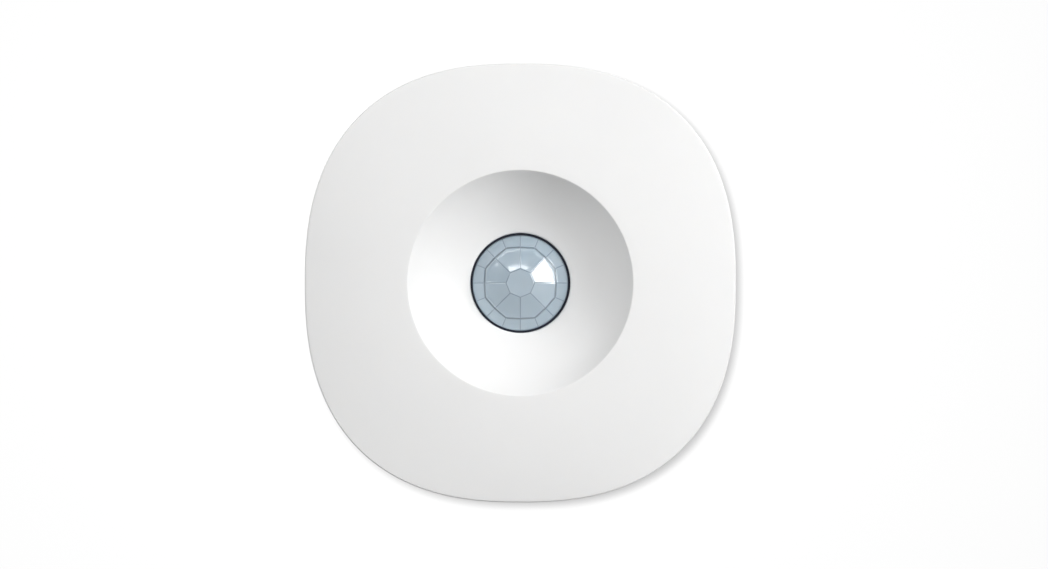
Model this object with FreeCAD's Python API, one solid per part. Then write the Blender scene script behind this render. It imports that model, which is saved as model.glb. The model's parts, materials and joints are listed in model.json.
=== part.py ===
"""Passive infrared motion sensor with a rounded-square face, a dished recess and a small faceted lens.

The sensor clings by a magnet to a small keyed wall plate. Its rear cover pushes onto the front
housing, which carries the lens, the circuit board, the infrared detector and the coin cell.

Every piece is drawn in a working frame in millimetres: X to the right and Y up as seen from the
front, Z out of the wall. place() then turns it into the part's frame, with +Z up and the lens
looking along -Y. The origin is the centre of the wall plate's back, where it meets the wall.
"""

import FreeCAD
import Part
import math
import os
from FreeCAD import Vector

# ---------------------------------------------------------------- driving dimensions
BODY_W = 56.0            # width of the face
BODY_H = 57.0            # height of the face
SQUIRCLE = 2.46          # exponent of every rounded-square outline
WALL = 1.8               # wall of the front housing

RIM_R = 14.6             # edge of the dished recess
RIM_Z = 23.8             # front-most height, at that edge
FACE_SAG = 1.8           # how far the face falls from the rim to its outer edge
FACE_RIM_SLOPE = 0.425   # share of the fall that is linear
EDGE_R = 0.25            # rounding of the face's outer edge

DISH_R = 15.75           # radius of the dish's arc
DISH_ARC_X = 2.6         # distance of that arc's centre from the axis
DISH_WALL = 1.7

BACK_Z = 1.2             # back of the rear cover, clear of the wall
PARTING_Z = 8.0          # lower rim of the front housing
PARTING_GAP = 0.25
SIDE_REACH = 8.0         # how far the side draws in from the face to the back
SIDE_POWER = 2.6         # shape of that curve
COVER_WALL = 1.6

LENS_R = 6.25
LENS_BORE_R = 6.55
LENS_RISE = 3.1          # height of the sphere that the facets' corners lie on
LENS_BASE_Z = 18.5
LENS_WALL = 0.65
FLANGE_R = 7.6
SEAT_Z = 16.7            # face that the lens flange presses against
FLANGE_T = 0.8

BOARD_Z = 12.0           # rear face of the circuit board
BOARD_T = 1.0
BOARD_INSET = 5.2
BOARD_SCREWS = [(16.5, 14.5), (-16.5, 14.5), (0.0, -20.3)]

CELL_R = 12.25
CELL_T = 5.0
CELL_Z = 5.8
CELL_Y = -1.0

BUTTON_AT = (13.2, -13.2)
BUTTON_R = 2.25
SWITCH_GAP = 0.02        # between the button's stem and the switch plunger

PLATE_HALF = 13.0
PLATE_T = 3.4
PAD_T = 0.6
MAGNET_R = 5.0
MAGNET_T = 2.0
PLATE_SCREW_X = 8.8
PLATE_SCREW_R = 1.9
POCKET_CLEARANCE = 0.35
POCKET_Z = 3.6           # roof of the rear cover's pocket for the wall plate
KEEPER_R = 8.0
KEEPER_T = 0.75

FRONT = BOARD_Z + BOARD_T
FACE_EDGE_Z = RIM_Z - FACE_SAG
LOOP_POINTS = 48
SNUG = 0.05              # clearance of a piece in its pocket
BIG = 100.0


# ---------------------------------------------------------------- shape helpers
def place(shape):
    """Turns a shape from the working frame into the part's frame."""
    turned = shape.copy()
    turned.rotate(Vector(0, 0, 0), Vector(1, 0, 0), 90)
    return turned


def save(name, *shapes):
    """Writes one sub-part, made of one or more closed solids."""
    solids = [place(s) for shape in shapes for s in shape.Solids]
    bad = [s for s in solids if not s.isValid() or s.Volume <= 0]
    whole = solids[0] if len(solids) == 1 else Part.makeCompound(solids)
    whole.exportStep(os.path.join("parts", name + ".step"))
    volume = sum(s.Volume for s in solids)
    print(f"{name:20s} {len(solids):3d} solids {volume:9.2f} mm3 {'BAD' if bad else ''}")


def disc(radius, z0, z1, at=(0.0, 0.0)):
    return Part.makeCylinder(radius, z1 - z0, Vector(at[0], at[1], z0))


def ring(inner, outer, z0, z1, at=(0.0, 0.0)):
    return disc(outer, z0, z1, at).cut(disc(inner, z0 - 1, z1 + 1, at))


def block(width, height, z0, z1, at=(0.0, 0.0)):
    corner = Vector(at[0] - width / 2, at[1] - height / 2, z0)
    return Part.makeBox(width, height, z1 - z0, corner)


def fused(first, *others):
    return first.multiFuse(list(others)).removeSplitter()


def drilled(shape, places, radius):
    """Shape with a round hole right through it at each place."""
    for at in places:
        shape = shape.cut(disc(radius, -BIG, BIG, at))
    return shape


def level_edges(shape, z):
    """Edges of shape that lie wholly at height z."""
    return [e for e in shape.Edges if abs(e.BoundBox.ZMin - z) < 0.01 and abs(e.BoundBox.ZMax - z) < 0.01]


def revolved(edges):
    """Solid of revolution about Z from edges in the XZ plane that close on themselves."""
    face = Part.Face(Part.Wire(edges))
    return face.revolve(Vector(0, 0, 0), Vector(0, 0, 1), 360)


def polar_loop(radius_at, z):
    """Closed smooth curve at height z through points at radius_at(angle)."""
    points = []
    for i in range(LOOP_POINTS):
        angle = 2 * math.pi * i / LOOP_POINTS
        r = radius_at(angle)
        points.append(Vector(r * math.cos(angle), r * math.sin(angle), z))
    curve = Part.BSplineCurve()
    curve.interpolate(points, PeriodicFlag=True)
    return Part.Wire(curve.toShape())


def squircle_radius(angle, half_w, half_h):
    across = abs(math.cos(angle)) / half_w
    up = abs(math.sin(angle)) / half_h
    return (across ** SQUIRCLE + up ** SQUIRCLE) ** (-1 / SQUIRCLE)


def squircle_loop(half_w, half_h, z):
    return polar_loop(lambda a: squircle_radius(a, half_w, half_h), z)


def squircle_prism(half_w, half_h, z0, z1):
    face = Part.Face(squircle_loop(half_w, half_h, z0))
    return face.extrude(Vector(0, 0, z1 - z0))


def inset_loop(inset, z):
    """The body's outline, drawn in by inset, at height z."""
    return squircle_loop(BODY_W / 2 - inset, BODY_H / 2 - inset, z)


def inset_prism(inset, z0, z1):
    return squircle_prism(BODY_W / 2 - inset, BODY_H / 2 - inset, z0, z1)


def loft(loops):
    return Part.makeLoft(loops, True, False)


# ---------------------------------------------------------------- the body's outer form
def face_height(k):
    """Height of the face a share k of the way from the dish's rim (0) to its outer edge (1)."""
    return RIM_Z - FACE_SAG * (FACE_RIM_SLOPE * k + (1 - FACE_RIM_SLOPE) * k * k)


def face_loop(k, drop=0.0):
    half_w, half_h = BODY_W / 2, BODY_H / 2

    def radius_at(angle):
        return RIM_R + k * (squircle_radius(angle, half_w, half_h) - RIM_R)

    return polar_loop(radius_at, face_height(k) - drop)


def side_angle(z):
    """Parameter of the side's curve at height z: 0 at the face's edge, a right angle at the back."""
    share = (FACE_EDGE_Z - z) / (FACE_EDGE_Z - BACK_Z)
    return math.asin(min(1.0, share ** (SIDE_POWER / 2)))


def side_point(phi, wall=0.0):
    """(inset, height) on the side's curve, moved inwards by wall along its normal."""
    def on_curve(p):
        share = math.sin(p) ** (2 / SIDE_POWER)
        kept = max(0.0, math.cos(p)) ** (2 / SIDE_POWER)
        return SIDE_REACH * (1 - kept), FACE_EDGE_Z - (FACE_EDGE_Z - BACK_Z) * share

    inset, z = on_curve(phi)
    if wall == 0:
        return inset, z
    step = 0.01
    low = on_curve(max(0.0, phi - step))
    high = on_curve(min(math.pi / 2, phi + step))
    run, fall = high[0] - low[0], low[1] - high[1]
    length = math.hypot(run, fall)
    return inset + wall * fall / length, z + wall * run / length


def side_loops(z_high, z_low, count, wall=0.0):
    """Outlines of the side from z_high down to z_low, evenly spaced along its curve."""
    first, last = side_angle(z_high), side_angle(z_low)
    loops = []
    for i in range(count):
        phi = first + (last - first) * i / (count - 1)
        loops.append(inset_loop(*side_point(phi, wall)))
    return loops


# ---------------------------------------------------------------- the dish
def dish_angle(radius):
    return math.asin((radius - DISH_ARC_X) / DISH_R)


DISH_ARC_Z = RIM_Z + DISH_R * math.cos(dish_angle(RIM_R))


def dish_point(phi, wall=0.0):
    reach = DISH_R + wall
    return Vector(DISH_ARC_X + reach * math.sin(phi), 0, DISH_ARC_Z - reach * math.cos(phi))


def dish_solid(phi_inner, phi_outer, wall):
    """Everything above the dish's curve, moved back by wall, between two angles of its arc."""
    inner, middle, outer = (
        dish_point(p, wall) for p in (phi_inner, (phi_inner + phi_outer) / 2, phi_outer)
    )
    top = RIM_Z + 4.0
    corners = [Vector(outer.x, 0, top), Vector(0, 0, top), Vector(0, 0, inner.z)]
    arc = Part.Arc(inner, middle, outer).toShape()
    path = [outer] + corners + [inner]
    return revolved([arc] + [Part.makeLine(a, b) for a, b in zip(path, path[1:])])


DISH_FLOOR_Z = dish_point(dish_angle(LENS_BORE_R)).z


# ---------------------------------------------------------------- housing shells
STAKE_R = 0.72
STAKE_HEAD_R = 1.2
STAKE_RADIUS = 9.4       # the heat stakes stand this far from the axis
STAKE_ANGLES = (90, 210, 330)
STAKE_END_Z = 15.1       # rear face of the lens retainer
STAKE_GAP = 0.08

POST_R = 2.4             # posts that carry the circuit board
PILOT_R = 1.0
PILOT_DEPTH = 6.0
SEAT_R = 8.8             # collar round the lens flange


def stake_places():
    return [
        (STAKE_RADIUS * math.cos(math.radians(a)), STAKE_RADIUS * math.sin(math.radians(a)))
        for a in STAKE_ANGLES
    ]


def front_housing():
    within_rim = -0.08       # the face runs on past the rim, to be cut by the dish
    face = loft([face_loop(k) for k in (1, 0.75, 0.5, 0.25, 0, within_rim)])
    side = loft(side_loops(FACE_EDGE_Z, PARTING_Z, 6))
    outer = side.fuse(face)
    outer = outer.makeFillet(EDGE_R, level_edges(outer, FACE_EDGE_Z))

    roof_z = FACE_EDGE_Z - WALL
    skirt = loft(
        [inset_loop(WALL, roof_z)]
        + side_loops(roof_z - 2.0, PARTING_Z, 5, WALL)
        + [inset_loop(side_point(side_angle(PARTING_Z), WALL)[0], PARTING_Z - 2.0)]
    )
    roof = loft([inset_loop(WALL, roof_z)] + [face_loop(k, WALL) for k in (0.6, 0.3, 0)])
    dish_back = dish_solid(dish_angle(LENS_BORE_R), math.radians(52), DISH_WALL)
    cavity = skirt.fuse(roof).cut(dish_back)

    posts = [disc(POST_R, FRONT, RIM_Z - POST_R, at) for at in BOARD_SCREWS]
    seat = disc(SEAT_R, SEAT_Z - FLANGE_T, SEAT_Z + 1.3)
    shell = fused(outer.cut(cavity), seat, *posts)

    dish = dish_solid(dish_angle(LENS_BORE_R), dish_angle(RIM_R + 0.8), 0.0)
    bore = disc(LENS_BORE_R, 0, RIM_Z)
    flange_pocket = disc(FLANGE_R + SNUG, 0, SEAT_Z)
    pilots = [disc(PILOT_R, 0, FRONT + PILOT_DEPTH, at) for at in BOARD_SCREWS]
    shell = shell.cut(dish).cut(bore).cut(flange_pocket)
    for pilot in pilots:
        shell = shell.cut(pilot)

    stakes = []
    for at in stake_places():
        stakes.append(disc(STAKE_R, STAKE_END_Z - 0.2, SEAT_Z + 2.0, at))
        stakes.append(disc(STAKE_HEAD_R, STAKE_END_Z - 0.5, STAKE_END_Z - 0.01, at))
    return fused(shell, *stakes)


TONGUE_CLEARANCE = 0.2
TONGUE_T = 1.2
TONGUE_ROOT_Z = 5.0
TONGUE_TOP_Z = 10.6
POCKET_WALL = 1.4        # round and above the pocket for the wall plate
COLLAR_R = 3.6           # collar that guides the button
BUTTON_GAP = 0.15
FLANGE_GAP = 0.6
NOTCH_W = 9.0            # pry notch in the lower rim
NOTCH_DEPTH = 0.9


def rear_cover():
    rim_z = PARTING_Z - PARTING_GAP
    outer = loft(side_loops(rim_z, BACK_Z, 7))
    hollow = loft(side_loops(rim_z, BACK_Z, 6, COVER_WALL))
    hollow = hollow.fuse(inset_prism(side_point(side_angle(rim_z), COVER_WALL)[0], rim_z - 0.2, rim_z + 1))

    inner_skirt = side_point(side_angle(PARTING_Z), WALL)[0]
    tongue_inset = inner_skirt + TONGUE_CLEARANCE
    tongue = inset_prism(tongue_inset, TONGUE_ROOT_Z, TONGUE_TOP_Z)
    tongue = tongue.cut(inset_prism(tongue_inset + TONGUE_T, TONGUE_ROOT_Z - 1, TONGUE_TOP_Z + 1))
    shell = outer.cut(hollow).fuse(tongue)

    pocket_half = PLATE_HALF + POCKET_CLEARANCE
    mesa_half = pocket_half + POCKET_WALL
    mesa_top = POCKET_Z + POCKET_WALL
    root_z = BACK_Z + 0.5
    mesa = squircle_prism(mesa_half, mesa_half, root_z, mesa_top)
    collar = disc(COLLAR_R, root_z, mesa_top, BUTTON_AT)
    shell = fused(shell, mesa, collar)

    cuts = [
        squircle_prism(pocket_half, pocket_half, 0, POCKET_Z),
        disc(KEEPER_R + SNUG, 0, POCKET_Z + KEEPER_T + SNUG),
        disc(BUTTON_R + BUTTON_GAP, 0, mesa_top, BUTTON_AT),
        disc(BUTTON_R + FLANGE_GAP, BACK_Z + COVER_WALL, mesa_top + 1, BUTTON_AT),
        block(NOTCH_W, 3.0, rim_z - NOTCH_DEPTH, rim_z + 0.1, (0, 0.6 - BODY_H / 2)),
    ]
    for cut in cuts:
        shell = shell.cut(cut)
    return shell


def keeper_disc():
    return disc(KEEPER_R, POCKET_Z + SNUG, POCKET_Z + KEEPER_T + SNUG)


BUTTON_SUNK = 0.15       # the button's face lies this far inside the cover's back
BUTTON_FLANGE_R = BUTTON_R + 0.4
BUTTON_FLANGE_T = 0.65
BUTTON_STEM_R = 1.1


def pair_button():
    face_z = BACK_Z + BUTTON_SUNK
    flange_z = BACK_Z + COVER_WALL + SNUG
    cap = disc(BUTTON_R, face_z, flange_z, BUTTON_AT)
    cap = cap.makeFillet(0.3, level_edges(cap, face_z))
    flange = disc(BUTTON_FLANGE_R, flange_z, flange_z + BUTTON_FLANGE_T, BUTTON_AT)
    stem = disc(BUTTON_STEM_R, flange_z, SWITCH_TOP_Z - SWITCH_GAP, BUTTON_AT)
    return fused(cap, flange, stem)


# ---------------------------------------------------------------- wall plate
PLATE_SCREWS = [(PLATE_SCREW_X, 0.0), (-PLATE_SCREW_X, 0.0)]
PLATE_RIM = 0.8          # wall round the recess for the pad
BOSS_R = 3.0
SINK = 1.4               # depth of the countersinks


def wall_plate():
    recess_half = PLATE_HALF - PLATE_RIM
    plate = squircle_prism(PLATE_HALF, PLATE_HALF, 0, PLATE_T)
    plate = plate.makeFillet(0.5, level_edges(plate, PLATE_T))
    plate = plate.cut(squircle_prism(recess_half, recess_half, -1, PAD_T))
    plate = fused(plate, *[disc(BOSS_R, 0, PAD_T + 0.2, at) for at in PLATE_SCREWS])
    plate = plate.cut(disc(MAGNET_R + SNUG, PLATE_T - MAGNET_T - SNUG, PLATE_T + 1))
    for x, y in PLATE_SCREWS:
        plate = plate.cut(disc(PLATE_SCREW_R, -1, PLATE_T + 1, (x, y)))
        foot = Vector(x, y, PLATE_T - SINK)
        plate = plate.cut(Part.makeCone(PLATE_SCREW_R, PLATE_SCREW_R + SINK, SINK, foot))
    return plate


def plate_magnet():
    magnet = disc(MAGNET_R, PLATE_T - MAGNET_T, PLATE_T)
    return magnet.makeFillet(0.2, level_edges(magnet, PLATE_T))


def adhesive_pad():
    half = PLATE_HALF - PLATE_RIM - 0.1
    pad = squircle_prism(half, half, 0, PAD_T)
    return drilled(pad, PLATE_SCREWS, BOSS_R + 0.2)


# ---------------------------------------------------------------- lens
LENS_FACETS = 8
LENS_CORE_R = 1.86       # corners of the middle facet
LENS_MID_R = 4.66        # corners between the inner ring's facets
LENS_TIP_R = 4.93        # their middle corners
LENS_FOOT_Z = 0.05       # height of the outer facets above the neck


def lens_form(scale, base_z):
    """Faceted dome: a middle facet, a ring of 8 flat facets and an outer ring of 16."""
    outer_r = LENS_R * scale
    sphere = (LENS_R ** 2 + LENS_RISE ** 2) / (2 * LENS_RISE)

    def corner(radius, degrees, height=None):
        if height is None:
            height = math.sqrt(sphere ** 2 - radius ** 2) - (sphere - LENS_RISE)
        a = math.radians(degrees)
        return Vector(
            radius * math.cos(a) * scale, radius * math.sin(a) * scale, base_z + height * scale
        )

    step = 360 / LENS_FACETS
    half = step / 2
    slope_run = (LENS_MID_R - LENS_CORE_R) * math.cos(math.radians(half))
    slope = (corner(LENS_CORE_R, 0).z - corner(LENS_MID_R, 0).z) / scale / slope_run
    tip_drop = slope * (LENS_TIP_R - LENS_MID_R * math.cos(math.radians(half)))
    tip_height = (corner(LENS_MID_R, 0).z - base_z) / scale - tip_drop

    dome = disc(outer_r, base_z, base_z + LENS_RISE * scale)
    planes = [(corner(LENS_CORE_R, 0), corner(LENS_CORE_R, 120), corner(LENS_CORE_R, 240))]
    for i in range(LENS_FACETS):
        a = i * step
        tip = corner(LENS_TIP_R, a + half, tip_height)
        left = corner(LENS_MID_R, a)
        right = corner(LENS_MID_R, a + step)
        planes.append((corner(LENS_CORE_R, a), corner(LENS_CORE_R, a + step), left))
        planes.append((left, tip, corner(LENS_R, a + half / 2, LENS_FOOT_Z)))
        planes.append((tip, right, corner(LENS_R, a + 1.5 * half, LENS_FOOT_Z)))
    for p, q, r in planes:
        normal = (q - p).cross(r - p)
        normal.normalize()
        if normal.z < 0:
            normal = normal * -1
        slab = block(4 * LENS_R, 4 * LENS_R, 0, 2 * LENS_R)
        slab.Placement = FreeCAD.Placement(p, FreeCAD.Rotation(Vector(0, 0, 1), normal))
        dome = dome.cut(slab)
    return dome


def lens():
    flange = disc(FLANGE_R, SEAT_Z - FLANGE_T, SEAT_Z)
    neck = disc(LENS_R, SEAT_Z - 0.1, LENS_BASE_Z)
    outer = fused(flange, neck, lens_form(1.0, LENS_BASE_Z))
    inner_r = LENS_R - LENS_WALL
    inner = fused(disc(inner_r, 0, LENS_BASE_Z), lens_form(inner_r / LENS_R, LENS_BASE_Z))
    return outer.cut(inner)


def lens_gasket():
    return ring(LENS_R + 0.02, LENS_BORE_R - 0.02, SEAT_Z + 0.02, DISH_FLOOR_Z - 0.3)


RETAINER_R = 10.6
BAFFLE_R = 6.0
BAFFLE_T = 0.7


def lens_retainer():
    plate = ring(LENS_R - LENS_WALL, RETAINER_R, STAKE_END_Z, SEAT_Z - FLANGE_T - 0.02)
    baffle = ring(BAFFLE_R, BAFFLE_R + BAFFLE_T, FRONT + 0.15, STAKE_END_Z + 0.1)
    return drilled(fused(plate, baffle), stake_places(), STAKE_R + STAKE_GAP)


# ---------------------------------------------------------------- infrared detector
CAN_R = 4.1
CAN_TOP_Z = 17.2
HEADER_R = 4.55
HEADER_Z = FRONT + 0.3
HEADER_T = 0.5
LEAD_R = 0.225
LEAD_CIRCLE_R = 2.54
LEAD_ANGLES = (45, 135, 225)


def lead_places():
    return [
        (LEAD_CIRCLE_R * math.cos(math.radians(a)), LEAD_CIRCLE_R * math.sin(math.radians(a)))
        for a in LEAD_ANGLES
    ]


def pir_insulator():
    return drilled(disc(HEADER_R, FRONT, HEADER_Z), lead_places(), LEAD_R + SNUG)


def pir_header():
    header = disc(HEADER_R, HEADER_Z, HEADER_Z + HEADER_T)
    tab = block(1.0, 1.4, HEADER_Z, HEADER_Z + HEADER_T, (0, HEADER_R + 0.1))
    return drilled(fused(header, tab), lead_places(), LEAD_R + SNUG)


def pir_leads():
    return [disc(LEAD_R, BOARD_Z - 0.35, HEADER_Z + HEADER_T + 0.5, at) for at in lead_places()]


WINDOW_W = 4.8
WINDOW_H = 3.8
CAN_WALL = 0.25
FILTER_T = 0.5
FILTER_LAP = 0.4


def pir_can():
    base = HEADER_Z + HEADER_T
    can = disc(CAN_R, base, CAN_TOP_Z)
    can = can.makeFillet(0.35, [e for e in can.Edges if e.BoundBox.ZMin > CAN_TOP_Z - 0.1])
    can = can.cut(disc(CAN_R - CAN_WALL, 0, CAN_TOP_Z - CAN_WALL))
    return can.cut(block(WINDOW_W, WINDOW_H, 0, BIG))


def pir_filter():
    top = CAN_TOP_Z - CAN_WALL - 0.02
    return block(WINDOW_W + 2 * FILTER_LAP, WINDOW_H + 2 * FILTER_LAP, top - FILTER_T, top)


def pyro_element():
    """Two sensing strips on a small ceramic carrier."""
    base = HEADER_Z + HEADER_T + 1.2
    carrier = block(4.6, 2.6, base, base + 0.5).cut(block(3.0, 1.2, 0, BIG))
    strips = [block(1.0, 2.0, base + 0.52, base + 0.6, (x, 0)) for x in (-1.0, 1.0)]
    legs = [block(0.5, 2.2, HEADER_Z + HEADER_T, base, (x, 0)) for x in (-2.0, 2.0)]
    return [fused(carrier, *legs)] + strips


# ---------------------------------------------------------------- circuit board and its parts
def main_board():
    board = inset_prism(BOARD_INSET, BOARD_Z, FRONT)
    board = drilled(board, BOARD_SCREWS, 1.25)
    return drilled(board, lead_places(), LEAD_R + SNUG)


SCREW_HEAD_R = 1.9
SCREW_HEAD_T = 1.2
SCREW_R = PILOT_R - 0.03
SCREW_TIP_Z = FRONT + 4.5
CROSS_W = 0.45
CROSS_L = 2.0
CROSS_DEPTH = 0.6


def board_screws():
    screws = []
    head_z = BOARD_Z - SCREW_HEAD_T
    for at in BOARD_SCREWS:
        head = disc(SCREW_HEAD_R, head_z, BOARD_Z, at)
        head = head.makeFillet(0.5, level_edges(head, head_z))
        shank = disc(SCREW_R, BOARD_Z - 0.1, SCREW_TIP_Z, at)
        tip = Part.makeCone(SCREW_R, 0.3, 0.8, Vector(at[0], at[1], SCREW_TIP_Z))
        screw = fused(head, shank, tip)
        for width, height in ((CROSS_L, CROSS_W), (CROSS_W, CROSS_L)):
            screw = screw.cut(block(width, height, head_z - 0.1, head_z + CROSS_DEPTH, at))
        screws.append(screw)
    return screws


RADIO_AT = (-15.0, -1.0)
RADIO_SIZE = (12.8, 17.0)
RADIO_T = 0.8
RADIO_TOP_Z = FRONT + RADIO_T
RADIO_PADS = 7           # half-round pads down each long edge
RADIO_PAD_PITCH = 1.6
SHIELD_AT = (-15.9, -3.4)
SHIELD_SIZE = (9.8, 11.0)
SHIELD_H = 1.7
SHIELD_WALL = 0.2


def radio_board():
    x, y = RADIO_AT
    edges = (x - RADIO_SIZE[0] / 2, x + RADIO_SIZE[0] / 2)
    pads = [(edge, y - 7.0 + RADIO_PAD_PITCH * i) for i in range(RADIO_PADS) for edge in edges]
    return drilled(block(*RADIO_SIZE, FRONT, RADIO_TOP_Z, RADIO_AT), pads, 0.4)


def radio_shield():
    width, height = SHIELD_SIZE
    top = RADIO_TOP_Z + SHIELD_H
    can = block(width, height, RADIO_TOP_Z, top, SHIELD_AT)
    can = can.makeFillet(0.35, [e for e in can.Edges if e.BoundBox.ZMax > top - 0.01])
    inset = 2 * SHIELD_WALL
    return can.cut(block(width - inset, height - inset, FRONT, top - SHIELD_WALL, SHIELD_AT))


ANTENNA_T = 0.06
ANTENNA_BARS = 9
ANTENNA_PITCH = 1.3
ANTENNA_TALL = 3.2
ANTENNA_TRACK = 0.5


def antenna():
    """Copper meander at the free end of the radio board."""
    z0, z1 = RADIO_TOP_Z, RADIO_TOP_Z + ANTENNA_T
    x0 = RADIO_AT[0] - ANTENNA_PITCH * (ANTENNA_BARS - 1) / 2
    y0 = RADIO_AT[1] + 4.2
    link_w = ANTENNA_PITCH + ANTENNA_TRACK
    strips = []
    for i in range(ANTENNA_BARS):
        x = x0 + ANTENNA_PITCH * i
        strips.append(block(ANTENNA_TRACK, ANTENNA_TALL, z0, z1, (x, y0 + ANTENNA_TALL / 2)))
        if i < ANTENNA_BARS - 1:
            y = y0 + (ANTENNA_TALL - ANTENNA_TRACK / 2 if i % 2 == 0 else ANTENNA_TRACK / 2)
            strips.append(block(link_w, ANTENNA_TRACK, z0, z1, (x + ANTENNA_PITCH / 2, y)))
    return fused(*strips)


PROCESSOR_AT = (14.0, 1.0)
PROCESSOR_SIZE = 5.0
PROCESSOR_PADS = 6       # on each side
PROCESSOR_PITCH = 0.8


def signal_processor():
    x, y = PROCESSOR_AT
    package = block(PROCESSOR_SIZE, PROCESSOR_SIZE, FRONT + 0.05, FRONT + 0.9, PROCESSOR_AT)
    pad_span = PROCESSOR_SIZE + 0.3
    pads = []
    for i in range(PROCESSOR_PADS):
        offset = PROCESSOR_PITCH * (i - (PROCESSOR_PADS - 1) / 2)
        pads.append(block(0.3, pad_span, FRONT, FRONT + 0.2, (x + offset, y)))
        pads.append(block(pad_span, 0.3, FRONT, FRONT + 0.2, (x, y + offset)))
    return fused(package, *pads)


def clock_crystal():
    at = (14.0, -4.6)
    base = block(3.2, 2.5, FRONT, FRONT + 0.45, at)
    lid = block(2.7, 2.0, FRONT + 0.4, FRONT + 0.8, at)
    return fused(base, lid)


def storage_capacitor():
    at = (12.6, -11.0)
    top = FRONT + 2.8
    body = block(7.0, 4.3, FRONT + 0.1, top, at)
    body = body.makeChamfer(0.3, level_edges(body, top))
    terminals = block(7.3, 2.4, FRONT, FRONT + 1.4, at)
    return fused(body, terminals)


CHIP_ROWS_X = (9.6, 11.6, 13.6, 15.6)


def chips(places, height):
    return [block(1.0, 0.5, FRONT, FRONT + height, at) for at in places]


def chip_capacitors():
    return chips([(x, y) for x in CHIP_ROWS_X[:3] for y in (7.6, 9.2, 10.8)], 0.5)


def chip_resistors():
    places = [(-9.0 + 2.0 * i, y) for i in range(6) for y in (14.6, 16.4)]
    return chips(places, 0.35)


LIGHT_PART_R = 5.25      # places of the lamp and the daylight sensor, beside the detector


def status_led():
    at = (LIGHT_PART_R, 0)
    base = block(0.8, 1.6, FRONT, FRONT + 0.25, at)
    return fused(base, block(0.76, 1.0, FRONT + 0.2, FRONT + 0.6, at))


def light_sensor():
    return block(0.9, 1.7, FRONT, FRONT + 0.55, (-LIGHT_PART_R, 0))


# ---------------------------------------------------------------- push switch
SWITCH_TOP_Z = 9.9
SWITCH_SIZE = 4.6
SWITCH_BODY_Z = 10.6     # rear face of the moulded base
SWITCH_PLATE_T = 0.15
SWITCH_TAB_W = 1.6
PLUNGER_R = 1.1
PLUNGER_FOOT_R = 1.4
PLUNGER_FOOT_T = 0.7


def switch_body():
    body = block(SWITCH_SIZE, SWITCH_SIZE, SWITCH_BODY_Z, BOARD_Z, BUTTON_AT)
    return body.cut(disc(PLUNGER_FOOT_R + 0.2, 0, BOARD_Z - 0.2, BUTTON_AT))


def switch_cover():
    cover_z = SWITCH_BODY_Z - SWITCH_PLATE_T
    plate = block(SWITCH_SIZE, SWITCH_SIZE, cover_z, SWITCH_BODY_Z, BUTTON_AT)
    plate = plate.cut(disc(PLUNGER_R + 0.15, 0, BIG, BUTTON_AT))
    x, y = BUTTON_AT
    tabs = []
    for side in (-1, 1):
        tab_x = x + side * (SWITCH_SIZE / 2 + 0.1)
        bend_x = tab_x - side * 0.08
        tabs.append(block(SWITCH_PLATE_T, SWITCH_TAB_W, cover_z, BOARD_Z - 0.3, (tab_x, y)))
        tabs.append(block(2 * SWITCH_PLATE_T, SWITCH_TAB_W, cover_z, SWITCH_BODY_Z, (bend_x, y)))
    return fused(plate, *tabs)


def switch_plunger():
    foot_z = SWITCH_BODY_Z + 0.1
    top = disc(PLUNGER_R, SWITCH_TOP_Z, foot_z, BUTTON_AT)
    top = top.makeFillet(0.15, level_edges(top, SWITCH_TOP_Z))
    return fused(top, disc(PLUNGER_FOOT_R, foot_z, foot_z + PLUNGER_FOOT_T, BUTTON_AT))


def switch_terminals():
    pins = []
    for side_x in (-1, 1):
        for side_y in (-1, 1):
            at = (BUTTON_AT[0] + side_x * 1.5, BUTTON_AT[1] + side_y * (SWITCH_SIZE / 2 + 0.35))
            pins.append(block(0.6, 0.7, BOARD_Z - 0.2, BOARD_Z, at))
    return pins


# ---------------------------------------------------------------- coin cell and its holder
HOLDER_R = CELL_R + 0.2
HOLDER_WALL = 1.25
HOLDER_WINDOW_R = 6.5    # room for the detector's leads and the negative contact
ARM_TOP_Y = 5.0


def u_form(radius, z0, z1, top_y):
    """A half disc below the cell's centre, with straight arms up to top_y."""
    at = (0, CELL_Y)
    lower = disc(radius, z0, z1, at).common(
        block(4 * radius, 2 * radius, z0, z1, (0, CELL_Y - radius))
    )
    arms = block(2 * radius, top_y - CELL_Y, z0, z1, (0, (top_y + CELL_Y) / 2))
    return fused(lower, arms)


def battery_holder():
    outer = u_form(HOLDER_R + HOLDER_WALL, CELL_Z + 0.1, BOARD_Z, ARM_TOP_Y)
    floor_z = CELL_Z + CELL_T + 0.6
    body = outer.cut(u_form(HOLDER_R, 0, floor_z, ARM_TOP_Y + BIG))
    finger_notch = block(9.0, 8.0, CELL_Z - 1, CELL_Z + 3.2, (0, CELL_Y - CELL_R - 1))
    return drilled(body, [(0, 0)], HOLDER_WINDOW_R).cut(finger_notch)


STRAP_T = 0.25
STRAP_W = 5.0
STRAP_LAP = 2.2          # over the cell's edge


def positive_contact():
    """Two sprung straps that wrap the holder's arms and lap over the cell's edge."""
    outer = HOLDER_R + HOLDER_WALL
    y = CELL_Y + 1
    lap_z = CELL_Z - 0.1 - STRAP_T
    lap_inner = CELL_R - STRAP_LAP
    leg_x = outer + 0.2
    lap_w = leg_x + STRAP_T / 2 - lap_inner
    straps = []
    for side in (-1, 1):
        leg = block(STRAP_T, STRAP_W, lap_z, BOARD_Z, (side * leg_x, y))
        lap = block(lap_w, STRAP_W, lap_z, lap_z + STRAP_T, (side * (lap_inner + lap_w / 2), y))
        foot = block(1.4, 3.0, BOARD_Z - STRAP_T, BOARD_Z, (side * (outer + 0.9), y))
        slot = block(1.8, 1.6, 0, CELL_Z, (side * (CELL_R - 0.6), y))
        straps.append(fused(leg, lap, foot).cut(slot))
    return straps


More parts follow.
